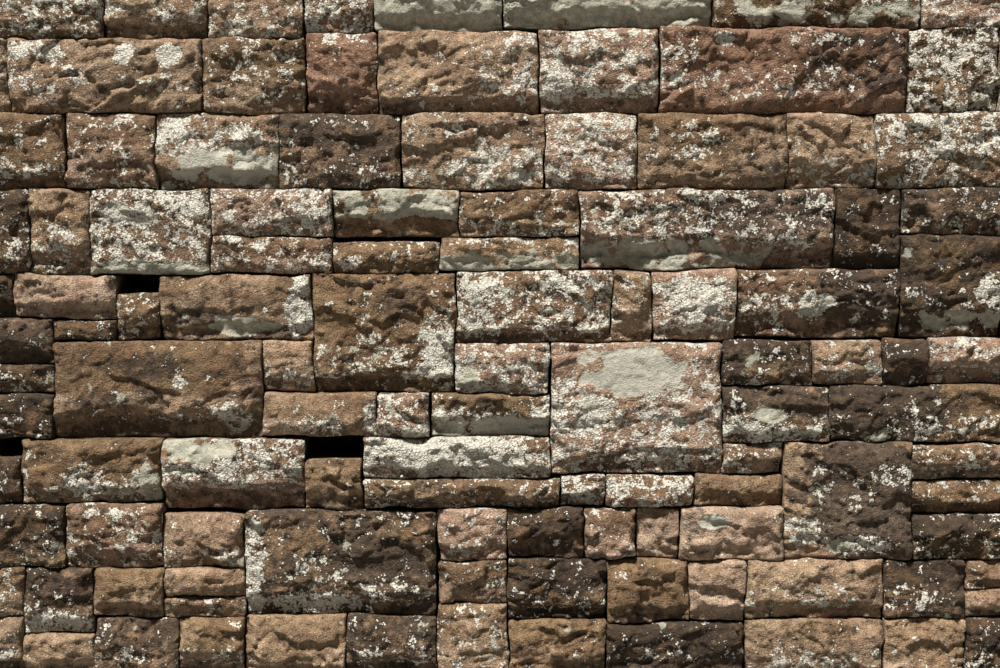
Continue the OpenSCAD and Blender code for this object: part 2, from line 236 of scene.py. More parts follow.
# Patches: the field that they add to, the place of their middle, half width, half height and
# amount. A flat patch is a smooth place of the face
PATCHES = {
    ("course_10", 4): [
        ("olive_film", 0.5, 0.25, 0.5, 0.3, 0.5), ("crust", 0.5, 0.6, 0.6, 0.25, 0.25),
    ],
    ("course_10", 5): [
        ("crust", 0.08, 0.5, 0.14, 0.7, 0.40), ("crust", 0.85, 0.7, 0.3, 0.4, 0.25),
        ("olive_film", 0.55, 0.3, 0.4, 0.3, 0.2),
    ],
    ("course_10", 6): [
        ("olive_film", 0.30, 0.30, 0.2, 0.3, 0.3), ("olive_film", 0.85, 0.2, 0.2, 0.2, 0.3),
        ("crust", 0.5, 0.6, 0.9, 0.9, -0.22), ("crust", 0.85, 0.6, 0.2, 0.4, 0.20),
    ],
    ("course_9", 1): [
        ("crust", 0.14, 0.82, 0.18, 0.16, 0.85), ("crust", 0.60, 0.79, 0.055, 0.15, 1.3),
        ("crust", 0.84, 0.75, 0.07, 0.18, 1.3), ("crust", 0.20, 0.45, 0.30, 0.22, 0.40),
        ("crust", 0.80, 0.40, 0.25, 0.15, 0.30),
    ],
    ("course_9", 3): [("crust", 0.70, 0.90, 0.5, 0.14, 0.45)],
    ("course_9", 4): [("crust", 0.92, 0.6, 0.35, 0.5, 0.40), ("crust", 0.3, 0.2, 0.3, 0.2, 0.25)],
    ("course_9", 5): [("crust", 0.4, 0.5, 0.5, 0.6, 0.20)],
    ("course_9", 6): [
        ("crust", 0.03, 0.7, 0.10, 0.4, 0.4), ("crust", 0.25, 0.86, 0.05, 0.10, 0.8),
        ("crust", 0.62, 0.85, 0.14, 0.12, 0.4), ("crust", 0.45, 0.35, 0.4, 0.2, 0.25),
        ("stain", 0.80, 0.6, 0.25, 0.4, 0.35),
    ],
    ("course_8", 2): [
        ("pale_film", 0.55, 0.28, 0.5, 0.26, 0.75), ("crust", 0.15, 0.7, 0.2, 0.3, 0.5),
        ("olive_film", 0.5, 0.3, 0.6, 0.3, -0.6), ("crust", 0.7, 0.65, 0.3, 0.2, 0.3),
    ],
    ("course_8", 4): [("crust", 0.7, 0.3, 0.4, 0.3, 0.25)],
    ("course_8", 6): [("crust", 0.3, 0.6, 0.3, 0.3, 0.35)],
    ("course_7", 2): [
        ("pale_film", 0.2, 0.75, 0.12, 0.12, 0.7), ("olive_film", 0.5, 0.05, 0.6, 0.10, 0.6),
    ],
    ("course_7", 6): [
        ("olive_film", 0.30, 0.14, 0.45, 0.24, 0.55), ("crust", 0.5, 0.5, 0.9, 0.9, -0.16),
        ("crust", 0.35, 0.62, 0.3, 0.2, 0.12), ("crust", 0.8, 0.3, 0.2, 0.3, 0.10),
        ("stain", 0.7, 0.7, 0.4, 0.4, 0.35),
    ],
    ("course_6", 4): [
        ("flat", 0.45, 0.62, 0.55, 0.45, 0.6), ("crust", 0.93, 0.50, 0.12, 0.45, 0.75),
        ("olive_film", 0.55, 0.22, 0.25, 0.16, 0.75), ("stain", 0.22, 0.35, 0.18, 0.12, 0.35),
        ("crust", 0.55, 0.18, 0.3, 0.10, 0.25),
    ],
    ("course_6", 5): [
        ("flat", 0.5, 0.65, 0.5, 0.4, 0.5), ("stain", 0.68, 0.80, 0.14, 0.22, 0.5),
        ("crust", 0.15, 0.5, 0.2, 0.6, 0.15),
    ],
    ("course_6", 7): [("crust", 0.45, 0.50, 0.60, 0.45, 0.34)],
    ("course_6", 8): [
        ("crust", 0.25, 0.42, 0.30, 0.30, 0.30), ("pale_film", 0.47, 0.52, 0.12, 0.20, 0.75),
        # The stain on the right of this stone is partly stain and partly a painted shadow of plants
        ("stain", 0.80, 0.62, 0.34, 0.45, 0.75), ("crust", 0.30, 0.85, 0.3, 0.15, 0.1),
        ("crust", 0.47, 0.52, 0.12, 0.2, 0.35),
    ],
    ("course_6", 9): [
        ("crust", 0.85, 0.45, 0.16, 0.14, 0.55), ("crust", 0.12, 0.45, 0.12, 0.08, 0.35),
        ("olive_film", 0.65, 0.16, 0.5, 0.12, 0.6), ("stain", 0.45, 0.60, 0.14, 0.10, -0.5),
    ],
    ("course_5", 1): [
        ("flat", 0.28, 0.68, 0.42, 0.42, 0.65), ("flat", 0.75, 0.70, 0.30, 0.40, 0.65),
        ("patina", 0.35, 0.75, 0.55, 0.35, 0.75), ("patina", 0.45, 0.38, 0.25, 0.15, -0.5),
        ("crust", 0.86, 0.22, 0.10, 0.20, 0.62), ("crust", 0.60, 0.58, 0.05, 0.08, 0.75),
        ("stain", 0.45, 0.75, 0.22, 0.14, 0.35), ("stain", 0.30, 0.40, 0.08, 0.08, 0.35),
        ("crust", 0.45, 0.22, 0.40, 0.07, 0.28),
    ],
    ("course_5", 2): [
        ("flat", 0.5, 0.7, 0.6, 0.4, 0.6), ("crust", 0.45, 0.25, 0.35, 0.18, 0.34),
        ("crust", 0.97, 0.4, 0.08, 0.5, 0.5),
    ],
    ("course_5", 4): [
        ("pale_film", 0.55, 0.20, 0.48, 0.30, 0.85), ("crust", 0.05, 0.35, 0.10, 0.30, 0.6),
        ("crust", 0.95, 0.35, 0.11, 0.40, 0.6), ("crust", 0.45, 0.52, 0.45, 0.08, 0.35),
        ("stain", 0.48, 0.82, 0.10, 0.10, 0.45), ("crust", 0.5, 0.85, 0.35, 0.2, -0.4),
    ],
    ("course_5", 5): [
        ("crust", 0.10, 0.45, 0.14, 0.45, 0.4), ("crust", 0.5, 0.2, 0.5, 0.2, 0.3),
        ("olive_film", 0.42, 0.52, 0.18, 0.14, 0.7),
    ],
    ("course_5", 6): [
        ("crust", 0.5, 0.5, 0.9, 0.9, -0.15), ("crust", 0.45, 0.30, 0.22, 0.25, 0.26),
        ("crust", 0.85, 0.5, 0.12, 0.3, 0.18), ("stain", 0.25, 0.55, 0.42, 0.7, 0.65),
        ("stain", 0.90, 0.55, 0.2, 0.4, -0.3),
    ],
    ("course_5_upper", 2): [
        ("crust", 0.90, 0.35, 0.14, 0.5, 0.40), ("stain", 0.4, 0.8, 0.4, 0.2, 0.15),
    ],
    ("course_5_upper", 3): [("olive_film", 0.12, 0.35, 0.14, 0.25, 0.6)],
    ("course_4_upper", 1): [
        ("pale_film", 0.48, 0.78, 0.33, 0.20, 0.95), ("crust", 0.48, 0.80, 0.34, 0.20, -0.6),
        ("flat", 0.50, 0.76, 0.50, 0.30, 0.8), ("patina", 0.3, 0.8, 0.2, 0.3, -0.3),
        ("crust", 0.06, 0.86, 0.10, 0.14, -0.4), ("crust", 0.20, 0.40, 0.12, 0.2, 0.2),
        ("stain", 0.62, 0.10, 0.35, 0.10, 0.3),
    ],
    ("course_4_upper", 0): [
        ("crust", 0.5, 0.5, 0.6, 0.6, 0.36), ("crust", 0.95, 0.55, 0.08, 0.4, -0.35),
    ],
    ("course_4", 2): [
        ("olive_film", 0.88, 0.3, 0.15, 0.4, 0.4), ("crust", 0.45, 0.35, 0.25, 0.3, 0.2),
    ],
    ("course_4", 3): [
        ("crust", 0.45, 0.60, 0.5, 0.3, 0.12),
        ("olive_film", 0.25, 0.85, 0.28, 0.18, 0.8), ("crust", 0.25, 0.85, 0.3, 0.18, -0.4),
        ("crust", 0.55, 0.14, 0.5, 0.14, -0.4),
    ],
    ("course_3", 8): [
        ("crust", 0.28, 0.66, 0.13, 0.18, 0.48), ("crust", 0.82, 0.74, 0.20, 0.10, 0.55),
        ("crust", 0.60, 0.55, 0.10, 0.18, 0.34), ("crust", 0.12, 0.28, 0.14, 0.16, 0.55),
        ("crust", 0.60, 0.14, 0.34, 0.09, 0.58), ("olive_film", 0.44, 0.13, 0.12, 0.08, 0.9),
        ("stain", 0.62, 0.60, 0.50, 0.55, 0.62), ("stain", 0.75, 0.15, 0.4, 0.2, 0.4),
    ],
    ("course_3", 7): [("pale_film", 0.30, 0.75, 0.16, 0.16, 0.9)],
    ("course_2", 4): [
        ("crust", 0.35, 0.10, 0.40, 0.12, 0.58), ("crust", 0.04, 0.5, 0.06, 0.5, 0.58),
        ("crust", 0.75, 0.30, 0.14, 0.10, 0.30), ("crust", 0.30, 0.50, 0.06, 0.08, 0.35),
        ("stain", 0.55, 0.55, 0.30, 0.25, 0.15), ("stain", 0.2, 0.75, 0.2, 0.15, -0.35),
    ],
    ("course_2", 1): [("crust", 0.5, 0.15, 0.6, 0.2, 0.4)],
}
# Finishes that the stones of the back and of the ends draw from
OTHER_FINISHES = (
    "bare", "tan", "red", "brown_low_crust", "speckled", "pink_speckled",
    "crusted", "film_low", "film", "dark", "dark_crust",
)


def random_stream(*words):
    """Random numbers that depend only on the names given."""
    return np.random.default_rng([SEED] + [sum(map(ord, str(w))) * 31 + len(str(w)) for w in words])


# Large odd numbers that mix the numbers of a cell and a seed, so that no pattern shows
SEED_FACTOR = 40503
CELL_FACTORS = (73856093, 19349663, 83492791)
FIRST_MIXER, SECOND_MIXER = 0x9E3779B1, 0x85EBCA6B
LOW_BITS = 0xFFFFFFFF


def scrambled(cells, seed):
    """A well mixed whole number below 2**32 for each row of cell numbers."""
    mixed = np.full(len(cells), seed * SEED_FACTOR)
    for column, factor in zip(cells.T, CELL_FACTORS):
        mixed = mixed ^ column * factor
    mixed = (mixed & LOW_BITS) * FIRST_MIXER & LOW_BITS
    mixed = (mixed ^ mixed >> 15) * SECOND_MIXER & LOW_BITS
    return mixed ^ mixed >> 13


def lattice_noise(points, seed):
    """Smooth noise from about -1 to 1 at points given in cells."""
    base = np.floor(points)
    part = points - base
    cell = base.astype(np.int64)
    ease = part**3 * (part * (part * 6 - 15) + 10)
    total = np.zeros(len(points))
    for corner in np.ndindex(2, 2, 2):
        mixed = scrambled(cell + corner, seed)
        slope = np.stack([mixed >> shift & 1023 for shift in (0, 10, 20)], 1) / 511.5 - 1
        weight = np.prod(np.where(corner, ease, 1 - ease), 1)
        total += weight * ((part - corner) * slope).sum(1)
    return total * 1.3


def scooped(places, seed):
    """Height from 0 to about 1 of a face dressed in scoops, at places given in scoop widths.

    Each scoop is a shallow bowl of its own depth, and crisp ridges stand where bowls meet."""
    cell = np.floor(places).astype(np.int64)
    lowest = np.full(len(places), 9.0)
    for step in np.ndindex(3, 3):
        at = cell + step - 1
        mixed = scrambled(at, seed)
        middle = at + np.stack([mixed & 1023, mixed >> 10 & 1023], 1) / 1023
        depth = (mixed >> 20 & 1023) / 1023
        away = ((places - middle) ** 2).sum(1)
        lowest = np.minimum(lowest, 0.55 * depth + 0.8 * away)
    return lowest


def rough_noise(points, size, octaves, seed, gain=0.5):
    """Noise of several octaves, the coarsest with lumps of the given size in metres."""
    total = np.zeros(len(points))
    height = 1.0
    for octave in range(octaves):
        total += height * lattice_noise(points / size * 2**octave + 17.3 * octave, seed + octave)
        height *= gain
    return total


def smooth_step(x, low, high):
    """0 below low, 1 above high and a smooth rise between."""
    t = np.clip((x - low) / (high - low), 0, 1)
    return t * t * (3 - 2 * t)


# Sides of a stone in the order of its loop, as local axis and direction
SIDES = ((1, -1), (0, 1), (1, 1), (0, -1))
# Where the hidden sides of a stone keep columns, behind the arris of a side that shows
JOINT_STOPS = np.array([3.0, 9.0, 26.0]) * MM
# Where its hidden beds keep rings
BED_STOPS = np.array([3.0, 8.0, 18.0]) * MM

# How far behind a face that shows the mesh still follows it: its relief, and the worn
# corners, wandering sides, drift of the joints, fine relief and riven tops, which fade away
RELIEF_REACH = 90 * MM
CORNER_REACH = 28 * MM
SIDE_REACH = 35 * MM
DRIFT_REACH = 60 * MM
FINE_REACH = 25 * MM
RIVEN_REACH = 12 * MM

# Widths of the lumps of noise that shape the arrises, sides, joints and riven tops, and of
# the humps and creases of the fine relief
ARRIS_LUMP = 48 * MM
SIDE_LUMP = 75 * MM
DRIFT_LUMP = 90 * MM
RIVEN_LUMP = 150 * MM
HUMP = 17 * MM
CREASE = 26 * MM
CREASE_DEPTH = 1.2 * MM

# Hidden sides wander back from their boxes by at most 9 mm. Upright ones stand out a little,
# by a share of the wandering, so that the joints between them are close
DEEPEST_SIDE = 9 * MM
FULLEST_SIDE = -2.4 * MM
FULLER = -0.75

# Rock faces. Their beds, scoops and chips wander by a few millimetres
WANDER = 6 * MM
WANDER_LUMP = 42 * MM
# The arrises stand nearer to the front than the frame's do, by a share of its bulge
FLATTER = 0.35
# How far behind its arris a foot starts to count as undercut, and counts wholly
UNDERCUT = (1 * MM, 5 * MM)
# Beds: width of their steps and height of a layer, in millimetres
WIDE_BED, WIDE_LAYERS = 95, (8, 12)
NARROW_BED, NARROW_LAYER, NARROW_SHARE = 30, 4.2, 0.85
# Scoops: width and depth in millimetres
SCOOPS = ((70, 5.5), (27, 2.6), (11, 1.5))
# Chips off the arrises: how many, their size in millimetres and their depth for that size
CHIPS = (5, 12)
CHIP_SIZE = (6, 30)
CHIP_DEPTH = (0.12, 0.36)
# Width of a worn arris, in millimetres
WORN_ARRIS = (5, 9)
# Broad unevenness, and how far the relief may go back and forward
BROAD_LUMP = 40 * MM
SET_DOWN = 3 * MM
DEEPEST_RELIEF = 13 * MM
HIGHEST_RELIEF = 4 * MM
MOST_FORWARD = 1 * MM

# Paint: widths of the lumps that break up the rise of growth, its patches and their edges
RISE_LUMP = 55 * MM
PATCH_LUMP = 85 * MM
FILM_LUMP = 70 * MM
RAGGED_LUMP = 28 * MM
# How far into a joint the attribute deep is 1
DEEP = 20 * MM


def side_stops(span, cell, fine, fine_before, fine_after):
    """Distances along one side of a stone's loop, from its start and without its end."""
    if fine:
        return np.linspace(0, span, max(2, round(span / cell)) + 1)[:-1]
    stops = [0.0]
    if fine_before:
        stops += [s for s in JOINT_STOPS if s < span * 0.45]
    if fine_after:
        stops += [span - s for s in JOINT_STOPS[::-1] if s < span * 0.45]
    return np.array(sorted(set(stops)))


def cap_insets(breadth, cell, fine):
    """How far the rings of a cap lie inside its outline, from the outline inwards."""
    if not fine:
        return [s for s in BED_STOPS if s < breadth * 0.3]
    count = int(breadth * 0.45 / cell)
    return [cell * (k + 1) for k in range(count)]


def tube(size, cell, fine, fine_caps):
    """Points on a box as rings of a closed tube along its last axis, with its faces."""
    wide, deep, tall = size
    spans = (wide, deep, wide, deep)
    stops = [
        side_stops(spans[k], cell, fine[k], fine[k - 1], fine[(k + 1) % 4]) for k in range(4)
    ]
    zeros = [np.zeros(len(s)) for s in stops]
    across = np.concatenate([stops[0], zeros[1] + wide, wide - stops[2], zeros[3]])
    back = np.concatenate([zeros[0], stops[1], zeros[2] + deep, deep - stops[3]])
    rows = np.linspace(0, tall, max(2, round(tall / cell)) + 1)
    breadth = min(wide, deep)
    rings = [(inset, 0.0) for inset in cap_insets(breadth, cell, fine_caps[0])[::-1]]
    rings += [(0.0, level) for level in rows]
    rings += [(inset, tall) for inset in cap_insets(breadth, cell, fine_caps[1])]
    around = len(across)
    points = np.concatenate([
        np.stack([
            wide / 2 + (across - wide / 2) * (1 - 2 * inset / wide),
            deep / 2 + (back - deep / 2) * (1 - 2 * inset / deep),
            np.full(around, level),
        ], 1)
        for inset, level in rings
    ])
    first = (np.arange(len(rings) - 1) * around)[:, None] + np.arange(around)
    after = (np.arange(len(rings) - 1) * around)[:, None] + np.roll(np.arange(around), -1)
    quads = np.stack([first, after, after + around, first + around], 2).reshape(-1, 4)
    last = (len(rings) - 1) * around
    caps = [list(range(around))[::-1], list(range(last, last + around))]
    return points, quads, caps


def rounded(points, low, high, radius):
    """Rounds the edges of a box whose surface the points lie on. Also gives the normals."""
    limit = 0.45 * (high - low).min()
    radius = np.minimum(radius, limit)[:, None]
    core = np.clip(points, low + radius, high - radius)
    away = points - core
    normal = away / np.linalg.norm(away, axis=1)[:, None]
    return core + normal * radius, normal


def worn_corners(points, low, high, stone, look):
    """Wears off the corners of the faces that show, as seen from in front of each."""
    for axis in sorted({axis for axis, _ in stone.shows}):
        pair = [k for k in range(3) if k != axis]
        room = (high - low)[pair]
        limit = 0.3 * room.min()
        corners = np.minimum(look.corner * stone.draw.uniform(0.5, 2.4, 4), limit)
        past = points[:, pair] > (low + high)[pair] / 2
        radius = corners[past[:, 0] * 2 + past[:, 1]][:, None]
        flat = points[:, pair]
        away = flat - np.clip(flat, low[pair] + radius, high[pair] - radius)
        round_off = np.abs(away).max(1) / np.maximum(np.linalg.norm(away, axis=1), 1e-9)
        here = [side for side in stone.shows if side[0] == axis]
        near = nearness(points, low, high, here, CORNER_REACH)
        points[:, pair] += away * ((np.where(round_off > 0, round_off, 1) - 1) * near)[:, None]
    return points


def wandering_sides(points, low, high, stone, look):
    """Lets the hidden sides of a stone wander where they meet a face that shows."""
    near = nearness(points, low, high, stone.shows, SIDE_REACH)
    moved = points.copy()
    for axis in range(3):
        # The hidden back of a stone stays as it is
        if {axis} == {a for a, _ in stone.shows}:
            continue
        share = (points[:, axis] - low[axis]) / (high[axis] - low[axis])
        for way, weight in ((-1, 1 - share), (1, share)):
            if (axis, way) in stone.shows:
                continue
            edge = points + stone.shift
            edge[:, axis] = way + stone.shift[axis]
            wander = rough_noise(edge, SIDE_LUMP, 4, stone.seed + 61 + way + 3 * axis, 0.55)
            bed = axis == 2
            inset = look.wave * (wander + (0.0 if bed else FULLER))
            # Few sides are square: most run a few millimetres off
            run = max(stone.rock, key=lambda face: face[0])[0]
            other = 3 - run - axis
            along = (points[:, other] - low[other]) / (high[other] - low[other])
            lean = stone.draw.uniform(-1, 1)
            inset += look.askew * max(lean, 0) * along + look.askew * max(-lean, 0) * (1 - along)
            inset = np.clip(inset, 0 if bed else FULLEST_SIDE, DEEPEST_SIDE)
            moved[:, axis] -= way * inset * np.clip(weight, 0, 1) * near
    return moved


def drifted(points, near, look):
    """Moves points along the face by a field that all stones share, but not at the wall's box."""
    wall_low, wall_high = (np.array(corner) for corner in CAD_BOX)
    for k, axis in enumerate((0, 2)):
        inside = np.minimum(points[:, axis] - wall_low[axis], wall_high[axis] - points[:, axis])
        field = rough_noise(points * (1, 0.3, 1), DRIFT_LUMP, 4, SEED + 10 * k)
        points[:, axis] += look.drift * field * near * smooth_step(inside, 0, DRIFT_REACH)
    return points


def frame_depth(points, axis, way, stone):
    """How far the frame's rock face lies behind the front of the stone's box, at points."""
    plane = stone.low[axis] if way < 0 else stone.high[axis]
    edge = 0.5 * MM
    samples = np.clip(points, stone.arris_low + edge, stone.arris_high - edge)
    samples[:, axis] = plane + way * edge
    towards = [0.0, 0.0, 0.0]
    towards[axis] = -way
    depths = np.empty(len(samples))
    for i, sample in enumerate(samples.tolist()):
        hit = stone.tree.ray_cast(sample, towards)
        depths[i] = hit[3] - edge if hit[0] else stone.out
    return depths


def pitched_relief(points, axis, way, stone, look):
    """Height of a rock face over the front of the stone's box, and how undercut it is."""
    draw, around, seed = stone.draw, points + stone.shift, stone.seed
    side = 1 - axis
    low, high = stone.arris_low, stone.arris_high
    span, height = high[side] - low[side], high[2] - low[2]
    along, up = points[:, side] - low[side], points[:, 2] - low[2]
    wave = WANDER * rough_noise(around, WANDER_LUMP, 4, seed + 5, 0.6)
    drift = WANDER * rough_noise(around, WANDER_LUMP, 4, seed + 6, 0.6)
    edge = np.minimum.reduce([along, span - along, up, height - up])

    # The frame's own face, with its creases made to wander, and flatter between its arrises
    bent_points = points.copy()
    bent_points[:, side] += wave
    bent_points[:, 2] += 0.8 * drift
    ground = -frame_depth(bent_points, axis, way, stone)
    under = smooth_step(-ground - stone.out, *UNDERCUT)
    share = np.clip(-ground / stone.out, 0, 1)
    margin = (FLATTER - 1) * stone.out * share**1.5
    ground = np.minimum(margin, ground + FLATTER * stone.out)

    # Beds: the stone splits along flat layers, which step down to the next at a crisp ledge
    tilt = draw.uniform(-0.25, 0.25)
    fall = along * tilt + up
    carved = np.zeros(len(points))
    wide = (WIDE_BED, draw.uniform(*WIDE_LAYERS), stone.stepped)
    narrow = (NARROW_BED, NARROW_LAYER, NARROW_SHARE)
    flat = np.zeros(len(points))
    for size, layer, share in (wide, narrow):
        warped = np.stack([along + 1.8 * wave, fall * 1.7 + 1.8 * drift, flat], 1) + stone.shift
        level = 1.3 * rough_noise(warped, size * MM, 3, seed + size, 0.45)
        part = level - np.floor(level)
        stepped = np.floor(level) + smooth_step(part, 0.0, 0.10) - 0.5
        carved += layer * MM * (share * stepped + (1 - share) * level * 0.7)

    # Broken face: scoops of three sizes, wandering and wider than they are high
    face = np.stack([along + 1.6 * wave, fall * 1.4 + 1.6 * drift], 1) + stone.shift[:2]
    for size, depth in SCOOPS:
        broken = scooped(face / (size * MM), seed + size) - 0.5
        carved += stone.broken * depth * MM * broken

    # Chips off the arrises: scoops with a crisp rim
    for _ in range(int(draw.integers(*CHIPS))):
        size = draw.uniform(*CHIP_SIZE) * MM
        place = draw.uniform(0, 1)
        if draw.random() < 0.7:
            over, rise = place * span, height * draw.integers(0, 2)
        else:
            over, rise = span * draw.integers(0, 2), place * height
        away = np.hypot(along - over + wave, up - rise + drift) / size
        carved -= size * draw.uniform(*CHIP_DEPTH) * np.clip(1.3 * (1 - away**2), 0, 1)

    # Worn arrises
    worn = np.clip(1 - (edge + 0.5 * wave) / (draw.uniform(*WORN_ARRIS) * MM), 0, 1.2)
    carved -= look.setback * worn**2

    # Smooth places of the face
    for field, x, z, half_x, half_z, amount in stone.marks_of_paint:
        if field == "flat":
            away = np.hypot((along / span - x) / half_x, (up / height - z) / half_z)
            carved *= 1 - amount * (1 - smooth_step(away, 0.6, 1.0))

    # The stone's own ledges, which fade at their ends
    for x0, z0, x1, z1, drop, height_back in stone.marks_of_relief:
        run = np.array([(x1 - x0) * span, (z1 - z0) * height])
        length_of_run = np.linalg.norm(run)
        offset = np.stack([along - x0 * span, up - z0 * height], 1)
        forward = offset @ run / length_of_run
        below = (offset[:, 0] * run[1] - offset[:, 1] * run[0]) / length_of_run + 0.8 * drift
        ends = smooth_step(np.minimum(forward, length_of_run - forward), -6 * MM, 10 * MM)
        face_back = np.clip(1 - below / (height_back * MM), 0, 1)
        carved -= drop * MM * smooth_step(below, -1 * MM, 1 * MM) * face_back * ends

    # Broad unevenness, and an end to all relief that would be too deep or too high
    carved += look.rough * rough_noise(around, BROAD_LUMP, 5, seed + 9, 0.6) - SET_DOWN
    most = np.where(carved < 0, DEEPEST_RELIEF, HIGHEST_RELIEF)
    carved = most * np.tanh(carved / most)
    return np.minimum(ground + carved, MOST_FORWARD), under


def stone_mesh(stone, look):
    """Vertices, faces and painted values of one stone."""
    order = stone.order
    low, high = stone.low, stone.high
    fine = [(order[axis], way) in stone.shows for axis, way in SIDES]
    fine_caps = [(order[2], way) in stone.shows for way in (-1, 1)]
    local, quads, caps = tube((high - low)[order], stone.cell, fine, fine_caps)
    points = np.empty_like(local)
    points[:, order] = local
    points += low
    around = points + stone.shift
    lumps = rough_noise(around, ARRIS_LUMP, 3, stone.seed)
    radius = look.arris * np.clip(1.0 + 1.1 * lumps, 0.35, 3.0)
    base, normal = rounded(points, low, high, radius)
    moved = worn_corners(base.copy(), low, high, stone, look)
    moved = wandering_sides(moved, low, high, stone, look)
    moved = drifted(moved, nearness(base, low, high, stone.shows, DRIFT_REACH), look)
    under = np.zeros(len(points))
    for axis, way in stone.rock:
        behind = depth_behind(base, low, high, [(axis, way)])
        reached = behind < RELIEF_REACH
        relief, undercut = pitched_relief(base[reached], axis, way, stone, look)
        moved[reached, axis] += way * relief * (1 - behind[reached] / RELIEF_REACH)
        under[reached] = np.maximum(under[reached], undercut)
    hump = rough_noise(around, HUMP, 3, stone.seed + 21, 0.6)
    creases = 0.4 - np.abs(rough_noise(around, CREASE, 2, stone.seed + 27))
    near = nearness(base, low, high, stone.shows, FINE_REACH)
    creased = CREASE_DEPTH * (np.minimum(creases, 0.25) - 0.15)
    moved += normal * ((look.pitting * hump + creased) * near)[:, None]
    moved = np.clip(moved, *CAD_BOX)
    if (2, 1) in stone.shows:
        fade = np.exp((moved[:, 2] - high[2]) / RIVEN_REACH)
        moved[:, 2] -= riven_top(around, stone, look) * fade
    paint = painted(stone, moved, under)
    # The material paints shade in the hollows of these humps and light on their tops
    paint["hump"] = hump
    return moved, quads, caps, paint


def riven_top(around, stone, look):
    """Depth of a top that split along its bed, in shallow layers with crisp edges."""
    level = 1.6 * rough_noise(around * (1, 1, 0), RIVEN_LUMP, 5, stone.seed + 81, 0.55)
    part = level - np.floor(level)
    layers = 2 - np.floor(level) - smooth_step(part, 0, 0.12)
    return look.riven * np.clip(layers + 0.25 * (1 - part), 0, 5)


def depth_behind(points, low, high, shows):
    """Distance of points behind the nearest of the sides that show, in metres."""
    depths = [
        points[:, axis] - low[axis] if way < 0 else high[axis] - points[:, axis]
        for axis, way in shows
    ]
    return np.maximum(np.minimum.reduce(depths), 0)


def nearness(points, low, high, sides, reach):
    """1 at the sides given, and fading away behind them over a reach in metres."""
    return np.exp(-depth_behind(points, low, high, sides) / reach)


def painted(stone, moved, under):
    """Values that the material reads at each vertex."""
    low, high = stone.arris_low, stone.arris_high
    deep = depth_behind(moved, low, high, stone.shows)
    tone, crust, film, stain = FINISHES[stone.finish]
    around, seed = moved + stone.shift, stone.seed
    up = (moved[:, 2] - low[2]) / (high[2] - low[2])
    rise = smooth_step(up + 0.18 * rough_noise(around, RISE_LUMP, 2, seed + 31), 0.2, 0.75)
    patches = rough_noise(around, PATCH_LUMP, 2, seed + 41)
    other = rough_noise(around, FILM_LUMP, 2, seed + 51)
    # Little grows where a face is undercut and stays in the dry
    clean = 1 - stone.sheltered * under
    fields = {
        "crust": (crust[0] + (crust[1] - crust[0]) * rise + 0.22 * patches) * clean,
        "olive_film": (film[0] + (film[1] - film[0]) * rise + 0.24 * other) * clean,
        "pale_film": 0.12 * other - 0.05,
        # The stain is thicker on undercut feet: partly stain and partly painted shade under the
        # overhang
        "stain": stain[0] + (stain[1] - stain[0]) * rise - 0.22 * patches + 0.15 * under,
        "patina": stone.patina + 0.25 * patches + 0.2 * (rise - 0.5),
        "deep": deep / DEEP,
    }
    across = (moved[:, 0] - low[0]) / (high[0] - low[0])
    ragged = 0.35 * rough_noise(around, RAGGED_LUMP, 3, seed + 71)
    for field, x, z, half_x, half_z, amount in stone.marks_of_paint:
        away = np.hypot((across - x) / half_x, (up - z) / half_z) + ragged
        if field in fields:
            fields[field] = fields[field] + amount * (1 - smooth_step(away, 0.65, 1.25))
    # No two stones are quite as light
    body = np.array(getattr(bpy.context.scene.wall_colours, tone)) * stone.draw.uniform(0.85, 1.15)
    fields["tone"] = np.tile(np.append(body, 1.0), (len(moved), 1))
    fields["place"] = around
    return fields


def solids_of(node):
    """The separate solids of a CAD node, each as its corner points and triangles."""
    mesh = node.data
    places = np.zeros(len(mesh.vertices) * 3)
    mesh.vertices.foreach_get("co", places)
    places, index = np.unique(places.reshape(-1, 3).round(5), axis=0, return_inverse=True)
    index = index.reshape(-1)
    mesh.calc_loop_triangles()
    corners = np.zeros(len(mesh.loop_triangles) * 3, int)
    mesh.loop_triangles.foreach_get("vertices", corners)
    corners = index[corners.reshape(-1, 3)]
    label = np.arange(len(places))
    while True:
        lowest = label[corners].min(1)
        new = label.copy()
        for k in range(3):
            np.minimum.at(new, corners[:, k], lowest)
        if (new == label).all():
            break
        label = new
    solids = []
    for island in np.unique(label):
        own = np.flatnonzero(label == island)
        triangles = np.searchsorted(own, corners[label[corners[:, 0]] == island])
        solids.append((places[own], triangles))
    return solids


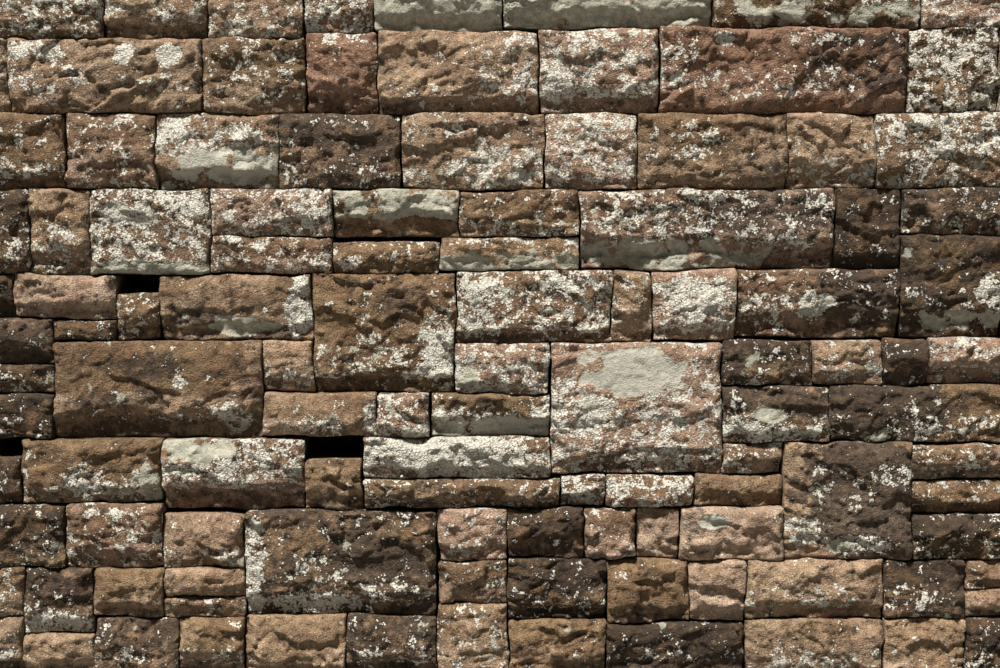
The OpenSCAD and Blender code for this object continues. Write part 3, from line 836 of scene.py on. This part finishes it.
def stones_of(node_name, sides, cell, finishes, order=(0, 1, 2)):
    """The stones of one CAD node, from left to right and bottom to top."""
    wall_low, wall_high = (np.array(corner) for corner in CAD_BOX)
    found = []
    for corners, triangles in solids_of(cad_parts[node_name]):
        low, high = corners.min(0), corners.max(0)
        rock = list(sides)
        if low[0] < wall_low[0] + MM:
            rock.append((0, -1))
        if high[0] > wall_high[0] - MM:
            rock.append((0, 1))
        # The arris at the head lies behind the box's front by the stone's bulge
        head = corners[corners[:, 2] > high[2] - MM / 10]
        out = head[:, 1].min() - low[1] if (1, -1) in rock else high[1] - head[:, 1].max()
        arris_low, arris_high = low.copy(), high.copy()
        for axis, way in rock:
            if way < 0:
                arris_low[axis] += out
            else:
                arris_high[axis] -= out
        tree = BVHTree.FromPolygons(corners.tolist(), triangles.tolist())
        found.append(SimpleNamespace(
            low=low, high=high, arris_low=arris_low, arris_high=arris_high, out=out,
            rock=rock, shows=list(rock), tree=tree,
        ))
    found.sort(key=lambda s: (round(s.low[0], 3), s.low[2]))
    # What chance gives each stone: how far its sheltered foot stays clean, its finish, how
    # broken and how stepped its face is, and how old it looks
    for i, stone in enumerate(found):
        stone.draw = random_stream(node_name, i)
        stone.seed = int(stone.draw.integers(1, 10**6))
        stone.shift = stone.draw.uniform(-9, 9, 3)
        stone.sheltered = 0.1 + 0.3 * stone.draw.integers(0, 3)
        stone.cell = cell
        stone.order = list(order)
        drawn = OTHER_FINISHES[int(stone.draw.integers(len(OTHER_FINISHES)))]
        stone.finish = finishes[i % len(finishes)] if finishes else drawn
        stone.broken = stone.draw.uniform(0.25, 1.0)
        stone.stepped = stone.draw.uniform(0.3, 1.0)
        stone.patina = stone.draw.uniform(0.0, 0.6)
        key = (node_name.removeprefix("front_"), i)
        stone.marks_of_relief = LEDGES.get(key, ())
        stone.marks_of_paint = PATCHES.get(key, ())
    return found


def stone_object(node_name, stones, look):
    """One object of all the stones of a CAD node, which it stands for."""
    name = f"{node_name}_stones"
    points, faces, paint = [], [], []
    start = 0
    for stone in stones:
        moved, quads, caps, fields = stone_mesh(stone, look)
        points.append(moved)
        faces += (quads + start).tolist()
        faces += [[corner + start for corner in cap] for cap in caps]
        paint.append(fields)
        start += len(moved)
    mesh = bpy.data.meshes.new(name)
    mesh.from_pydata(np.concatenate(points).tolist(), [], faces)
    mesh.shade_smooth()
    kinds = {"tone": ("FLOAT_COLOR", "color"), "place": ("FLOAT_VECTOR", "vector")}
    for key in paint[0]:
        kind, value = kinds.get(key, ("FLOAT", "value"))
        layer = mesh.attributes.new(key, kind, "POINT")
        values = np.concatenate([fields[key] for fields in paint])
        layer.data.foreach_set(value, values.astype(np.float32).ravel())
    made = bpy.data.objects.new(name, mesh)
    bpy.context.scene.collection.objects.link(made)
    mesh.materials.append(bpy.data.materials.get("weathered_sandstone") or sandstone())
    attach(made, BODY)
    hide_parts(node_name)


# Nodes by short names: the kind, its settings, the inputs that are given in order, and the
# output that is read
NODES = {
    "coordinates": ("ShaderNodeTexCoord", {}, (), "Object"),
    "value": ("ShaderNodeAttribute", {}, (), "Fac"),
    "vector": ("ShaderNodeAttribute", {}, (), "Vector"),
    "colour": ("ShaderNodeAttribute", {}, (), "Color"),
    "noise": ("ShaderNodeTexNoise", {}, ("Vector", "Scale", "Detail", "Roughness"), "Fac"),
    "cells": ("ShaderNodeTexVoronoi", {}, ("Vector", "Scale"), "Distance"),
    "split": ("ShaderNodeSeparateColor", {}, ("Color",), "Red"),
    "ramp": (
        "ShaderNodeMapRange", {"interpolation_type": "SMOOTHSTEP"},
        ("Value", "From Min", "From Max", "To Min", "To Max"), "Result",
    ),
    "mix": ("ShaderNodeMix", {"data_type": "RGBA"}, (0, 6, 7), 2),
    "tint": ("ShaderNodeMix", {"data_type": "RGBA", "blend_type": "MULTIPLY"}, (0, 6, 7), 2),
    "bump": ("ShaderNodeBump", {}, ("Strength", "Distance", "Height"), "Normal"),
}
for word in ("add", "subtract", "multiply", "multiply_add", "minimum", "maximum"):
    NODES[word] = ("ShaderNodeMath", {"operation": word.upper()}, (0, 1, 2), 0)


def put(tree, word, *inputs, **settings):
    """Adds a node, links or sets its inputs in order, and gives the output that is read."""
    kind, usual, sockets, output = NODES[word]
    made = tree.nodes.new(kind)
    for name, value in {**usual, **settings}.items():
        setattr(made, name, value)
    for socket, value in zip(sockets, inputs):
        if isinstance(value, bpy.types.NodeSocket):
            tree.links.new(value, made.inputs[socket])
        else:
            made.inputs[socket].default_value = value
    return made.outputs[output]


def new_material(name):
    """A new material with its node tree and its shader."""
    material = bpy.data.materials.new(name)
    material.use_nodes = True
    tree = material.node_tree
    return material, tree, tree.nodes["Principled BSDF"]


def sandstone():
    """Weathered red-brown sandstone with crustose lichen.

    Quarried and pitched with a hammer: a grainy, matt face that takes no polish. Its hollows hold
    painted shade and its humps painted light, and lichen grows over it as pale flakes and as smooth
    grey-green film."""
    colours = bpy.context.scene.wall_colours
    material, tree, shader = new_material("weathered_sandstone")
    node = partial(put, tree)

    def paint(name):
        """A colour of the wall as a node takes it."""
        return (*getattr(colours, name), 1.0)

    def laid_over(body, amount, strength, coat):
        """A coat over a body where the amount is 1, as dense as its strength."""
        return node("mix", node("multiply", amount, strength), body, coat)

    def shaded(body, value, low, high, dark, light):
        """Multiplies a colour by a grey that runs with a value."""
        greys = ((dark, dark * 0.98, dark * 0.96, 1), (light, light * 0.99, light * 0.98, 1))
        return node("tint", 1.0, body, node("mix", node("ramp", value, low, high), *greys))

    def discs(distance, luck, share, gain, widest, soft=0.05):
        """Flakes in a share of the cells, wider where the share is well above the cell's luck."""
        radius = node("multiply", node("subtract", share, luck), gain)
        inner = node("subtract", node("minimum", radius, widest), distance)
        return node("ramp", inner, -soft, soft)

    place = node("vector", attribute_name="place")
    crust, stain, olive_film, pale_film, deep, hump, patina = (
        node("value", attribute_name=name)
        for name in ("crust", "stain", "olive_film", "pale_film", "deep", "hump", "patina")
    )

    # Sandstone: clouded at hand's width, faintly mottled at finger's width, and grains of
    # about 0.3 mm drawn 2 mm wide, which is as fine as the picture shows. Whatever lies on it
    # is ragged at thumb's width
    cloud = node("noise", place, 1 / (70 * MM), 2, 0.5)
    mottle = node("noise", place, 1 / (11 * MM), 4, 0.65)
    grain = node("noise", place, 1 / (2.2 * MM), 1, 0.7)
    ragged = node("noise", place, 1 / (24 * MM), 4, 0.7)
    tone = node("colour", attribute_name="tone")
    body = node("mix", node("ramp", cloud, 0.42, 0.66, 0.0, 0.45), tone, paint("red"))
    body = shaded(body, mottle, 0.32, 0.68, 0.80, 1.20)
    body = shaded(body, grain, 0.30, 0.70, 0.62, 1.34)
    # Painted shade in the hollows of the fine relief, and painted light on its humps
    body = shaded(body, hump, -0.7, 0.6, 0.78, 1.10)

    # Patina: the oldest faces have gone olive-grey, with crumbled edges
    old = node("ramp", node("multiply_add", ragged, 0.8, patina), 0.62, 0.80)
    body = laid_over(body, old, 0.85, node("tint", 1.0, body, paint("patina")))

    # Painted shade of pits, as dark specks where the mottle is lowest, and black spots of a growth
    # that spreads in discs of up to 8 mm. Discs and flakes grow in scattered cells, 9.5 and 4 mm
    # apart, and each cell has lucks of its own
    wide_cells = node("cells", place, 1 / (9.5 * MM))
    wide_luck = node("split", wide_cells.node.outputs["Color"]).node.outputs
    small_cells = node("cells", place, 1 / (4.0 * MM))
    small_luck = node("split", small_cells.node.outputs["Color"]).node.outputs
    # Painted shade of pits, where the mottle is lowest
    body = node("mix", node("ramp", mottle, 0.36, 0.30, 0.0, 0.7), body, paint("stain"))
    sooted = discs(wide_cells, wide_luck[2], node("multiply", stain, 0.5), 2.5, 0.45, 0.08)
    body = laid_over(body, sooted, 0.75, paint("stain"))

    # Black stain: dull patches with crumbled edges, thickest in the hollows, where it is partly
    # painted shade
    sooty = node("multiply_add", hump, -0.08, node("multiply_add", ragged, 1.5, stain))
    body = laid_over(body, node("ramp", sooty, 1.06, 1.36), 0.70, paint("stain"))

    # Film: smooth grey-green thallus a few centimetres wide, with a crisp lobed edge and small
    # dark discs
    film_noise = node("noise", place, 1 / (32 * MM), 4, 0.6)

    def filmed_over(body, amount, dull, light):
        """Film over a body, and how far it covers the body."""
        thallus = node("ramp", node("multiply_add", film_noise, 2.2, amount), 1.56, 1.66)
        coat = node("mix", node("ramp", mottle, 0.36, 0.64), paint(dull), paint(light))
        coat = shaded(coat, grain, 0.3, 0.7, 0.86, 1.12)
        return laid_over(body, thallus, 0.92, coat), thallus

    body, olive = filmed_over(body, olive_film, "film_green", "film_grey")
    body, pale = filmed_over(body, pale_film, "film_grey", "film_pale")
    filmed = node("maximum", olive, pale)
    dotted = node("multiply", discs(wide_cells, wide_luck[1], 0.20, 4.0, 0.33), pale)
    body = laid_over(body, dotted, 0.6, paint("film_green"))

    # Crust: patches that run together, with a ragged crisp edge and a rim of painted shade, and
    # loose flakes around them
    growth = node("multiply_add", ragged, 1.7, node("multiply_add", crust, 0.72, -1.86))
    growth = node("multiply_add", mottle, 1.35, growth)
    growth = node("multiply_add", filmed, -0.35, growth)
    lobed = node("multiply_add", small_cells, -0.30, node("add", growth, 0.10))
    patched = node("ramp", lobed, 0.0, 0.05)
    share = node("multiply_add", growth, 1.2, 0.30)
    flaked = node("maximum", patched, discs(small_cells, small_luck[0], share, 1.6, 0.50))
    whiteness = node("multiply_add", growth, 0.9, node("multiply", small_luck[1], 0.5))
    whiteness = node("multiply_add", mottle, 1.2, node("add", whiteness, -0.62))
    whiteness = node("ramp", whiteness, -0.05, 0.55)
    flakes = node("mix", whiteness, paint("crust_grey"), paint("crust_pale"))
    # Each scale of crust darkens towards its edge: painted shade where the domed scales meet
    flakes = shaded(flakes, small_cells, 0.65, 0.20, 0.66, 1.06)
    flakes = shaded(flakes, grain, 0.30, 0.62, 0.66, 1.10)
    # Painted shade: the stone darkens in a thin rim around the crust
    painted_rim_shade = node("ramp", growth, -0.25, 0.0, 0.0, 0.35)
    body = node("mix", painted_rim_shade, body, node("tint", 1.0, body, (0.62, 0.58, 0.55, 1)))
    body = laid_over(body, flaked, 0.94, flakes)

    # Earth and shade in the joints
    body = laid_over(body, node("ramp", deep, 0.5, 2.2), 0.85, paint("earth"))
    tree.links.new(body, shader.inputs["Base Color"])
    tree.links.new(node("ramp", filmed, 0, 1, 0.95, 0.80), shader.inputs["Roughness"])
    shader.inputs["Specular IOR Level"].default_value = 0.25

    # Relief in millimetres: grain and pits about 6 mm wide, calm under film, and scaly where
    # crust grows
    pitted = node("noise", place, 1 / (6.5 * MM), 3, 0.75)
    pits = node("multiply_add", pitted, 5.0, node("multiply", grain, 2.6))
    most_film = node("maximum", olive_film, pale_film)
    calm = node("multiply", pits, node("ramp", most_film, 0.35, 0.85, 1.0, 0.45))
    scales = node("multiply", small_cells, -2.2)
    raised = node("multiply_add", scales, node("ramp", crust, 0.3, 0.6), calm)
    tree.links.new(node("bump", 1.0, MM, raised), shader.inputs["Normal"])
    return material


# Usual size of a stone of the hearting, and how far it falls back at its edges
HEARTING_SIZE = 70 * MM
HEARTING_GAP = 10 * MM


def hearting_stone():
    """Small broken sandstone, packed by hand and never washed: dark, dull and earthy."""
    colours = bpy.context.scene.wall_colours
    material, tree, shader = new_material("packed_hearting")
    node = partial(put, tree)
    where = node("coordinates")
    stones = node("cells", where, 1 / HEARTING_SIZE, feature="DISTANCE_TO_EDGE")
    gap = node("ramp", stones, 0.0, 0.12, interpolation_type="LINEAR")
    # The gaps between the small stones are partly earth and partly painted shade
    mixed = node("mix", gap, (*colours.earth, 1), (*colours.dark, 1))
    tree.links.new(mixed, shader.inputs["Base Color"])
    shader.inputs["Roughness"].default_value = 0.95
    shader.inputs["Specular IOR Level"].default_value = 0.2
    tree.links.new(node("bump", 1.0, HEARTING_GAP, gap), shader.inputs["Normal"])
    return material


def painted_floor(paint):
    """Matt emulsion on a smooth studio floor, rolled: even, pale and without gloss."""
    material, tree, shader = new_material("matt_studio_paint")
    node = partial(put, tree)
    # The roller leaves faint clouds a third of a metre wide
    clouds = node("noise", node("coordinates"), 3.0, 3.0)
    low, high = ((*(part * shade for part in paint), 1) for shade in (0.96, 1.04))
    tree.links.new(node("mix", clouds, low, high), shader.inputs["Base Color"])
    shader.inputs["Roughness"].default_value = 0.9
    return material


class FrontCourses(bpy.types.Operator):
    """Builds the stones of the front face"""
    bl_idname = "stonewall.front_courses"
    bl_label = "Front courses"

    def execute(self, context):
        look = context.scene.wall_shape
        for name in sorted(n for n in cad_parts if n.startswith("front_")):
            finishes = FRONT_FINISHES[name.removeprefix("front_")]
            stones = stones_of(name, [(1, -1)], look.front_cell, finishes)
            stone_object(name, stones, look)
        return {"FINISHED"}


class BackCourses(bpy.types.Operator):
    """Builds the stones of the back face"""
    bl_idname = "stonewall.back_courses"
    bl_label = "Back courses"

    def execute(self, context):
        look = context.scene.wall_shape
        for name in sorted(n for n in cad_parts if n.startswith("back_")):
            stones = stones_of(name, [(1, 1)], look.back_cell, None)
            stone_object(name, stones, look)
        return {"FINISHED"}


class EndTies(bpy.types.Operator):
    """Builds the stones that run through the wall at its ends"""
    bl_idname = "stonewall.end_ties"
    bl_label = "End ties"

    def execute(self, context):
        look = context.scene.wall_shape
        for name in ("left_end_ties", "right_end_ties"):
            stones = stones_of(name, [(1, -1), (1, 1)], look.end_cell, None)
            stone_object(name, stones, look)
        return {"FINISHED"}


class CopeSlabs(bpy.types.Operator):
    """Builds the flat cope slabs"""
    bl_idname = "stonewall.cope_slabs"
    bl_label = "Cope slabs"

    def execute(self, context):
        look = context.scene.wall_shape
        finishes = ["cope", "cope_film", "cope_dark", "cope", "cope_film"]
        stones = stones_of("cope_slabs", [(1, -1), (1, 1)], look.cope_cell, finishes, (1, 2, 0))
        for stone in stones:
            stone.shows.append((2, 1))
            stone.patina += 0.5
        stone_object("cope_slabs", stones, look)
        return {"FINISHED"}


class Hearting(bpy.types.Operator):
    """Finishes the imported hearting, which shows only through open joints"""
    bl_idname = "stonewall.hearting"
    bl_label = "Hearting"

    def execute(self, context):
        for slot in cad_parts["hearting"].material_slots:
            slot.material = hearting_stone()
        return {"FINISHED"}


class Stage(bpy.types.Operator):
    """Sets the floor, the lights and the camera"""
    bl_idname = "stonewall.stage"
    bl_label = "Stage"

    def execute(self, context):
        scene = context.scene
        mesh = bpy.data.meshes.new("floor")
        reach = 40.0
        corners = [(x * reach, y * reach, 0) for x, y in ((-1, -1), (1, -1), (1, 1), (-1, 1))]
        mesh.from_pydata(corners, [], [(0, 1, 2, 3)])
        floor = bpy.data.objects.new("floor", mesh)
        scene.collection.objects.link(floor)
        mesh.materials.append(painted_floor(scene.wall_colours.floor))

        def lamp(name, strength, softness, left, height):
            """A distant soft light from left of the front face's normal, both in degrees."""
            light = bpy.data.lights.new(name, "SUN")
            light.energy = strength
            light.angle = math.radians(softness)
            made = bpy.data.objects.new(name, light)
            turn, lift = math.radians(left), math.radians(height)
            flat = math.cos(lift)
            towards = Vector((-math.sin(turn) * flat, -math.cos(turn) * flat, math.sin(lift)))
            made.rotation_euler = towards.to_track_quat("Z", "Y").to_euler()
            scene.collection.objects.link(made)

        lamp("key_light", 10.8, 6, 27, 62)
        lamp("back_light", 1.8, 20, 215, 45)
        world = bpy.data.worlds.new("studio")
        world.use_nodes = True
        background = world.node_tree.nodes["Background"]
        background.inputs["Color"].default_value = (0.95, 0.97, 1.0, 1)
        background.inputs["Strength"].default_value = 0.10
        scene.world = world
        scene.view_settings.view_transform = "Standard"

        # The camera looks straight at the battered face, and the view is as wide as the photo
        lens, sensor = 50.0, 36.0
        lean = math.atan(BATTER)
        middle = (GROUND_PIXEL - PHOTO_HEIGHT / 2) * MM_PER_PIXEL * MM
        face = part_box("front_course_5")[0]
        target = Vector((0, face.y, middle))
        distance = PHOTO_WIDTH * MM_PER_PIXEL * MM * lens / sensor
        away = Vector((0, -math.cos(lean), math.sin(lean)))
        camera = bpy.data.objects.new("camera", bpy.data.cameras.new("camera"))
        camera.data.lens = lens
        camera.data.sensor_width = sensor
        camera.location = target + away * distance
        camera.rotation_euler = away.to_track_quat("Z", "Y").to_euler()
        scene.collection.objects.link(camera)
        scene.camera = camera
        return {"FINISHED"}


class WallPanel(bpy.types.Panel):
    """Lists the sizes, the colours and the steps that build the wall"""
    bl_label = "Stone wall"
    bl_idname = "VIEW3D_PT_stonewall"
    bl_space_type = "VIEW_3D"
    bl_region_type = "UI"
    bl_category = "Stone wall"

    def draw(self, context):
        for group in (context.scene.wall_shape, context.scene.wall_colours):
            for name in group.__annotations__:
                self.layout.prop(group, name)
        for step in STEPS:
            self.layout.operator(step.bl_idname)


STEPS = (FrontCourses, BackCourses, EndTies, CopeSlabs, Hearting, Stage)
CLASSES = (WallShape, WallColours, *STEPS, WallPanel)


def register():
    for cls in CLASSES:
        bpy.utils.register_class(cls)
    bpy.types.Scene.wall_shape = bpy.props.PointerProperty(type=WallShape)
    bpy.types.Scene.wall_colours = bpy.props.PointerProperty(type=WallColours)


def unregister():
    del bpy.types.Scene.wall_colours
    del bpy.types.Scene.wall_shape
    for cls in reversed(CLASSES):
        bpy.utils.unregister_class(cls)


def main():
    """Builds the wall."""
    register()
    bpy.ops.stonewall.front_courses()
    bpy.ops.stonewall.back_courses()
    bpy.ops.stonewall.end_ties()
    bpy.ops.stonewall.cope_slabs()
    bpy.ops.stonewall.hearting()
    bpy.ops.stonewall.stage()


if __name__ == "__main__":
    main()
